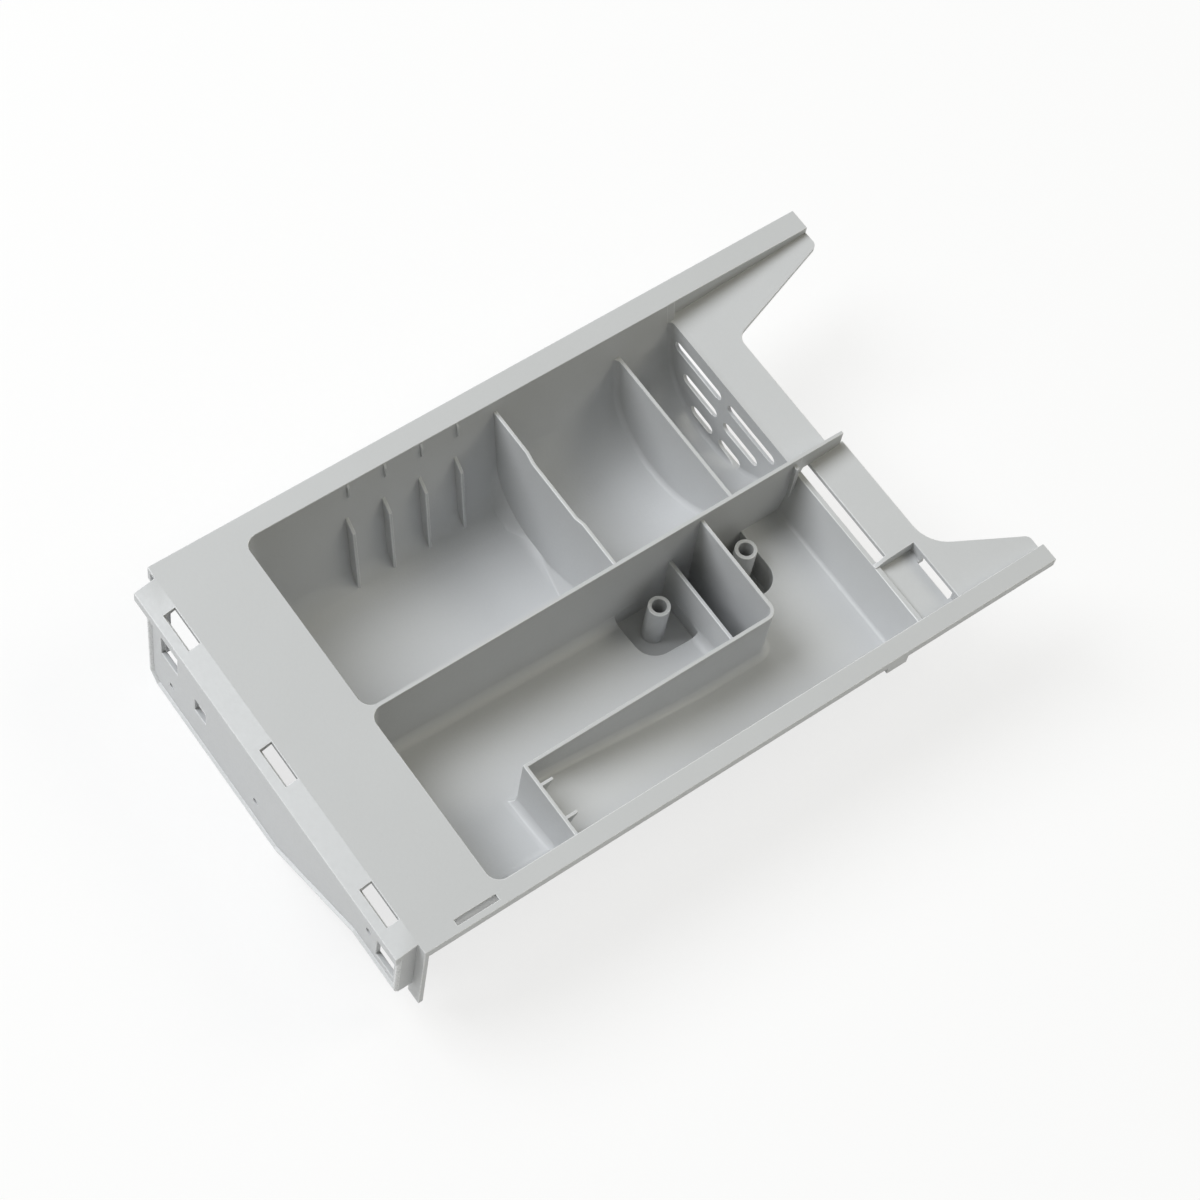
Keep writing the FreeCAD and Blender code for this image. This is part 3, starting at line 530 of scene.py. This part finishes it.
    @staticmethod
    def _above(
        tree: bpy.types.NodeTree, chosen: bpy.types.NodeSocket, measure: bpy.types.NodeSocket, least: float
    ) -> bpy.types.NodeSocket:
        """Keep those chosen edges whose measure is above a least value.

        Args:
            tree: Geometry group.
            chosen: Output that is 1 for the edges chosen so far.
            measure: Output that gives the measure.
            least: Value that the measure has to pass.

        Returns:
            Output that is 1 for the edges that stay chosen.
        """
        above = tree.nodes.new("ShaderNodeMath")
        above.operation = "GREATER_THAN"
        above.inputs[1].default_value = least
        both = tree.nodes.new("ShaderNodeMath")
        both.operation = "MULTIPLY"
        tree.links.new(measure, above.inputs[0])
        tree.links.new(chosen, both.inputs[0])
        tree.links.new(above.outputs["Value"], both.inputs[1])
        return both.outputs["Value"]

    def _edge_test(self, tree: bpy.types.NodeTree, angle: str, operation: str) -> bpy.types.NodeSocket:
        """Compare each edge's angle with the angle from which an edge is sharp.

        Args:
            tree: Geometry group.
            angle: Which of the edge's angles is compared.
            operation: Blender's name for the comparison.

        Returns:
            Output that says whether the edge passes.
        """
        angles = tree.nodes.new("GeometryNodeInputMeshEdgeAngle")
        test = tree.nodes.new("FunctionNodeCompare")
        test.data_type = "FLOAT"
        test.operation = operation
        test.inputs["B"].default_value = self.edge_angle
        tree.links.new(angles.outputs[angle], test.inputs["A"])
        return test.outputs["Result"]

    def dress(self, satin: bpy.types.Material, polish_and_painted_highlight: bpy.types.Material) -> None:
        """Give the faces their satin finish, and the broken edges a polished finish whose lighter tones are
        a painted highlight.

        Args:
            satin: Finish of the faces.
            polish_and_painted_highlight: Finish of the edges. It is polished, and its lighter tones are a
                painted highlight.
        """
        self.node.data.materials.clear()
        for finish in (satin, polish_and_painted_highlight):
            self.node.data.materials.append(finish)


def skin(shape: bmesh.types.BMesh, rings: list[list[bmesh.types.BMVert]]) -> None:
    """Close a row of like sections into one skin.

    Args:
        shape: Mesh under construction.
        rings: Corners of each section in order.
    """
    for first, second in zip(rings, rings[1:]):
        for start, corner in enumerate(first):
            end = (start + 1) % len(first)
            shape.faces.new((corner, first[end], second[end], second[start]))
    shape.faces.new(rings[0][::-1])
    shape.faces.new(rings[-1])


def rounded_trim(name: str, shape: bmesh.types.BMesh, radius: float, steps: int) -> bpy.types.Object:
    """Turn a finished mesh into a piece of trim with rounded edges.

    Args:
        name: Name of the piece.
        shape: Mesh under construction, which is used up.
        radius: Radius of the edges.
        steps: Steps across each edge.

    Returns:
        The new object.
    """
    bmesh.ops.recalc_face_normals(shape, faces=shape.faces)
    mesh = bpy.data.meshes.new(name)
    shape.to_mesh(mesh)
    shape.free()
    trim = bpy.data.objects.new(name, mesh)
    bpy.context.scene.collection.objects.link(trim)
    edge = trim.modifiers.new("rounded_edges", "BEVEL")
    edge.width = radius
    edge.segments = steps
    edge.limit_method = "ANGLE"
    return trim


@dataclass
class FillMarks:
    """Short raised bars on the trough's leaning outer wall, one above each fin."""

    first_y: float = -60.65 * MM
    pitch: float = 15.6 * MM
    count: int = 4
    wall_x: float = -75.8 * MM
    wall_slope: float = 0.19
    rim_z: float = 58.8 * MM
    top_drop: float = 0.6 * MM
    length: float = 7.6 * MM
    width: float = 1.0 * MM
    proud: float = 0.9 * MM
    least_proud: float = 0.1 * MM
    taper: float = 1.5 * MM
    root: float = 0.4 * MM
    edge_radius: float = 0.18 * MM
    edge_steps: int = 3

    def build(self) -> bpy.types.Object:
        """Make the bars as one mesh.

        Returns:
            The new object.
        """
        shape = bmesh.new()
        for index in range(self.count):
            self._bar(shape, self.first_y + index * self.pitch)
        return rounded_trim("fill_marks", shape, self.edge_radius, self.edge_steps)

    def _bar(self, shape: bmesh.types.BMesh, y: float) -> None:
        """Add one bar, tapered at its two ends.

        Args:
            shape: Mesh under construction.
            y: Place of the bar's middle along the drawer.
        """
        rows = (
            (self.top_drop, self.least_proud),
            (self.top_drop + self.taper, self.proud),
            (self.length - self.taper, self.proud),
            (self.length, self.least_proud),
        )
        skin(shape, [self._ring(shape, y, depth, stand) for depth, stand in rows])

    def _ring(
        self, shape: bmesh.types.BMesh, y: float, depth: float, stand: float
    ) -> list[bmesh.types.BMVert]:
        """Set the four corners of a bar's section.

        Args:
            shape: Mesh under construction.
            y: Place of the bar's middle along the drawer.
            depth: Depth of the section below the rim.
            stand: How far the bar stands out of the wall there.

        Returns:
            The corners in order.
        """
        face_x = self.wall_x + self.wall_slope * depth
        half = self.width / 2
        offsets = ((-self.root, -half), (stand, -half), (stand, half), (-self.root, half))
        return [shape.verts.new((face_x + x, y + side, self.rim_z - depth)) for x, side in offsets]

    def dress(self, marks: bpy.types.Object, finish: bpy.types.Material) -> None:
        """Give the bars their finish and tie them to the moulding.

        Args:
            marks: Object that holds the bars.
            finish: Finish of the bars.
        """
        marks.data.materials.append(finish)
        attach(marks, "root")


@dataclass
class ApronBead:
    """Fine raised bead that runs round the apron's free edge, below the lip."""

    front_y: float = -142.95 * MM
    outline_mm: tuple[tuple[float, float], ...] = (
        (-75.5, 50.5),
        (-75.5, 5.0),
        (-70.5, 0.0),
        (7.0, 0.0),
        (55.0, 22.8),
        (80.5, 22.8),
        (80.5, 50.5),
    )
    section_mm: tuple[tuple[float, float], ...] = (
        (0.3, -0.3),
        (0.3, 0.4),
        (0.8, 0.9),
        (1.6, 0.9),
        (2.4, 0.1),
        (2.4, -0.3),
    )
    edge_radius: float = 0.12 * MM
    edge_steps: int = 2

    def build(self) -> bpy.types.Object:
        """Make the bead as one mesh.

        Returns:
            The new object.
        """
        shape = bmesh.new()
        path = [Vector(place) * MM for place in self.outline_mm]
        skin(shape, [self._ring(shape, path, index) for index in range(len(path))])
        return rounded_trim("apron_bead", shape, self.edge_radius, self.edge_steps)

    def _ring(self, shape: bmesh.types.BMesh, path: list[Vector], index: int) -> list[bmesh.types.BMVert]:
        """Set the bead's section at one corner of the outline, mitred between the sides that meet there.

        Args:
            shape: Mesh under construction.
            path: Corners of the outline, as seen from the front.
            index: Which corner it is.

        Returns:
            The section's corners in order.
        """
        sides = [(end - start).normalized() for start, end in zip(path, path[1:])]
        inward = [Vector((-side.y, side.x)) for side in sides]
        before, after = inward[max(index - 1, 0)], inward[min(index, len(inward) - 1)]
        mitre = (before + after) / (1.0 + before.dot(after))
        ring = []
        for inset, stand in self.section_mm:
            place = path[index] + mitre * inset * MM
            ring.append(shape.verts.new((place.x, self.front_y - stand * MM, place.y)))
        return ring

    def dress(self, bead: bpy.types.Object, finish: bpy.types.Material) -> None:
        """Give the bead its finish and tie it to the moulding.

        Args:
            bead: Object that holds the bead.
            finish: Finish of the bead.
        """
        bead.data.materials.append(finish)
        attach(bead, "root")


@dataclass(frozen=True)
class LampSetting:
    """Place and strength of one soft lamp."""

    kind: Lamp
    place: tuple[float, float, float]
    size: float
    watts: float
    colour: tuple[float, float, float]


@dataclass
class Studio:
    """White floor, soft lamps and the camera at the photograph's place."""

    camera_place: tuple[float, float, float] = (0.358131, -0.382514, 0.998284)
    camera_turn_deg: tuple[float, float, float] = (27.8374, -5.8863, 54.2437)
    camera_lens_mm: float = 92.164
    camera_sensor_mm: float = 36.0
    camera_reach: float = 50.0
    floor_reach: float = 40.0
    floor_tone: tuple[float, float, float, float] = (0.93, 0.93, 0.93, 1.0)
    floor_show: float = 0.75
    sky: float = 0.19
    sky_colour: tuple[float, float, float, float] = (1.0, 0.985, 0.86, 1.0)
    lamp_aim: tuple[float, float, float] = (0.0, 0.0, 0.03)
    lamps: tuple[LampSetting, ...] = (
        LampSetting(Lamp.KEY, (-1.364, -1.364, 2.328), size=2.0, watts=70.0, colour=COOL_WHITE),
        LampSetting(Lamp.SIDE, (-1.5, 0.0, 2.628), size=2.0, watts=14.5, colour=COOL_WHITE),
        LampSetting(Lamp.BACK, (0.726, 1.993, 2.151), size=1.4, watts=18.5, colour=WARM_WHITE),
    )

    def build(self) -> None:
        """Set up camera, floor, lamps and plain colour handling."""
        self._camera()
        self._floor()
        self._light()
        bpy.context.scene.view_settings.view_transform = "Standard"

    def _camera(self) -> None:
        """Set up the scene's camera."""
        data = bpy.data.cameras.new("studio_camera")
        data.sensor_fit = "HORIZONTAL"
        data.sensor_width = self.camera_sensor_mm
        data.lens = self.camera_lens_mm
        data.clip_end = self.camera_reach
        camera = bpy.data.objects.new("studio_camera", data)
        camera.location = self.camera_place
        camera.rotation_euler = Euler([math.radians(turn) for turn in self.camera_turn_deg], "XYZ")
        bpy.context.scene.collection.objects.link(camera)
        bpy.context.scene.camera = camera

    def _floor(self) -> None:
        """Lay the white floor."""
        mesh = bpy.data.meshes.new("studio_floor")
        ways = ((-1, -1), (1, -1), (1, 1), (-1, 1))
        places = [(x * self.floor_reach, y * self.floor_reach, 0.0) for x, y in ways]
        mesh.from_pydata(places, [], [tuple(range(len(places)))])
        mesh.materials.append(self._paper())
        floor = bpy.data.objects.new("studio_floor", mesh)
        bpy.context.scene.collection.objects.link(floor)

    def _paper(self) -> bpy.types.Material:
        """White paper that shows as white to the camera and still takes the tray's shadow.

        Returns:
            The new material.
        """
        made = bpy.data.materials.new("white_paper")
        made.use_nodes = True
        nodes, links = made.node_tree.nodes, made.node_tree.links
        nodes.clear()
        output = nodes.new("ShaderNodeOutputMaterial")
        paper = nodes.new("ShaderNodeBsdfDiffuse")
        paper.inputs["Color"].default_value = self.floor_tone
        glow = nodes.new("ShaderNodeEmission")
        glow.inputs["Strength"].default_value = 1.0
        ray = nodes.new("ShaderNodeLightPath")
        seen = ray.outputs["Is Camera Ray"]
        for kind in ("Is Glossy Ray", "Is Transmission Ray"):
            either = nodes.new("ShaderNodeMath")
            either.operation = "MAXIMUM"
            links.new(seen, either.inputs[0])
            links.new(ray.outputs[kind], either.inputs[1])
            seen = either.outputs[0]
        share = nodes.new("ShaderNodeMath")
        share.operation = "MULTIPLY"
        share.inputs[1].default_value = self.floor_show
        links.new(seen, share.inputs[0])
        blend = nodes.new("ShaderNodeMixShader")
        links.new(share.outputs[0], blend.inputs["Fac"])
        links.new(paper.outputs["BSDF"], blend.inputs[1])
        links.new(glow.outputs["Emission"], blend.inputs[2])
        links.new(blend.outputs["Shader"], output.inputs["Surface"])
        return made

    def _light(self) -> None:
        """Hang the lamps and set the even light round them."""
        world = bpy.data.worlds.new("studio_light")
        world.use_nodes = True
        sky = world.node_tree.nodes["Background"]
        sky.inputs["Color"].default_value = self.sky_colour
        sky.inputs["Strength"].default_value = self.sky
        bpy.context.scene.world = world
        for setting in self.lamps:
            data = bpy.data.lights.new(setting.kind.value, "AREA")
            data.shape = "DISK"
            data.size = setting.size
            data.energy = setting.watts
            data.color = setting.colour
            lamp = bpy.data.objects.new(setting.kind.value, data)
            lamp.location = setting.place
            way = Vector(self.lamp_aim) - Vector(setting.place)
            lamp.rotation_euler = way.to_track_quat("-Z", "Y").to_euler()
            bpy.context.scene.collection.objects.link(lamp)


def clear_scene() -> None:
    """Take away whatever the empty file starts with."""
    for thing in list(bpy.data.objects):
        bpy.data.objects.remove(thing)


def main() -> None:
    """Dress the tray, add its marks and set up the studio."""
    logging.basicConfig(level=logging.INFO, format="%(name)s: %(message)s")
    clear_scene()
    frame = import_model()
    effects = MouldEffects()
    satin = WALL_FINISH.material(effects)
    # Edge finish: polished, with lighter tones that are a painted highlight.
    polish_and_painted_highlight = EDGE_POLISH_AND_HIGHLIGHT.material(effects)

    shell = TrayShell(frame["nodes"]["drawer_tray"])
    shell.soften()
    shell.dress(satin, polish_and_painted_highlight)
    LOG.info("tray shell dressed")

    bars = FillMarks()
    marks = bars.build()
    bars.dress(marks, satin)
    LOG.info("%d fill marks", bars.count)

    border = ApronBead()
    bead = border.build()
    # The bead takes the edge finish, so its lighter tones are a painted highlight along the apron's edge.
    border.dress(bead, polish_and_painted_highlight)
    LOG.info("apron bead")

    Studio().build()
    LOG.info("studio ready")


if __name__ == "__main__":
    main()
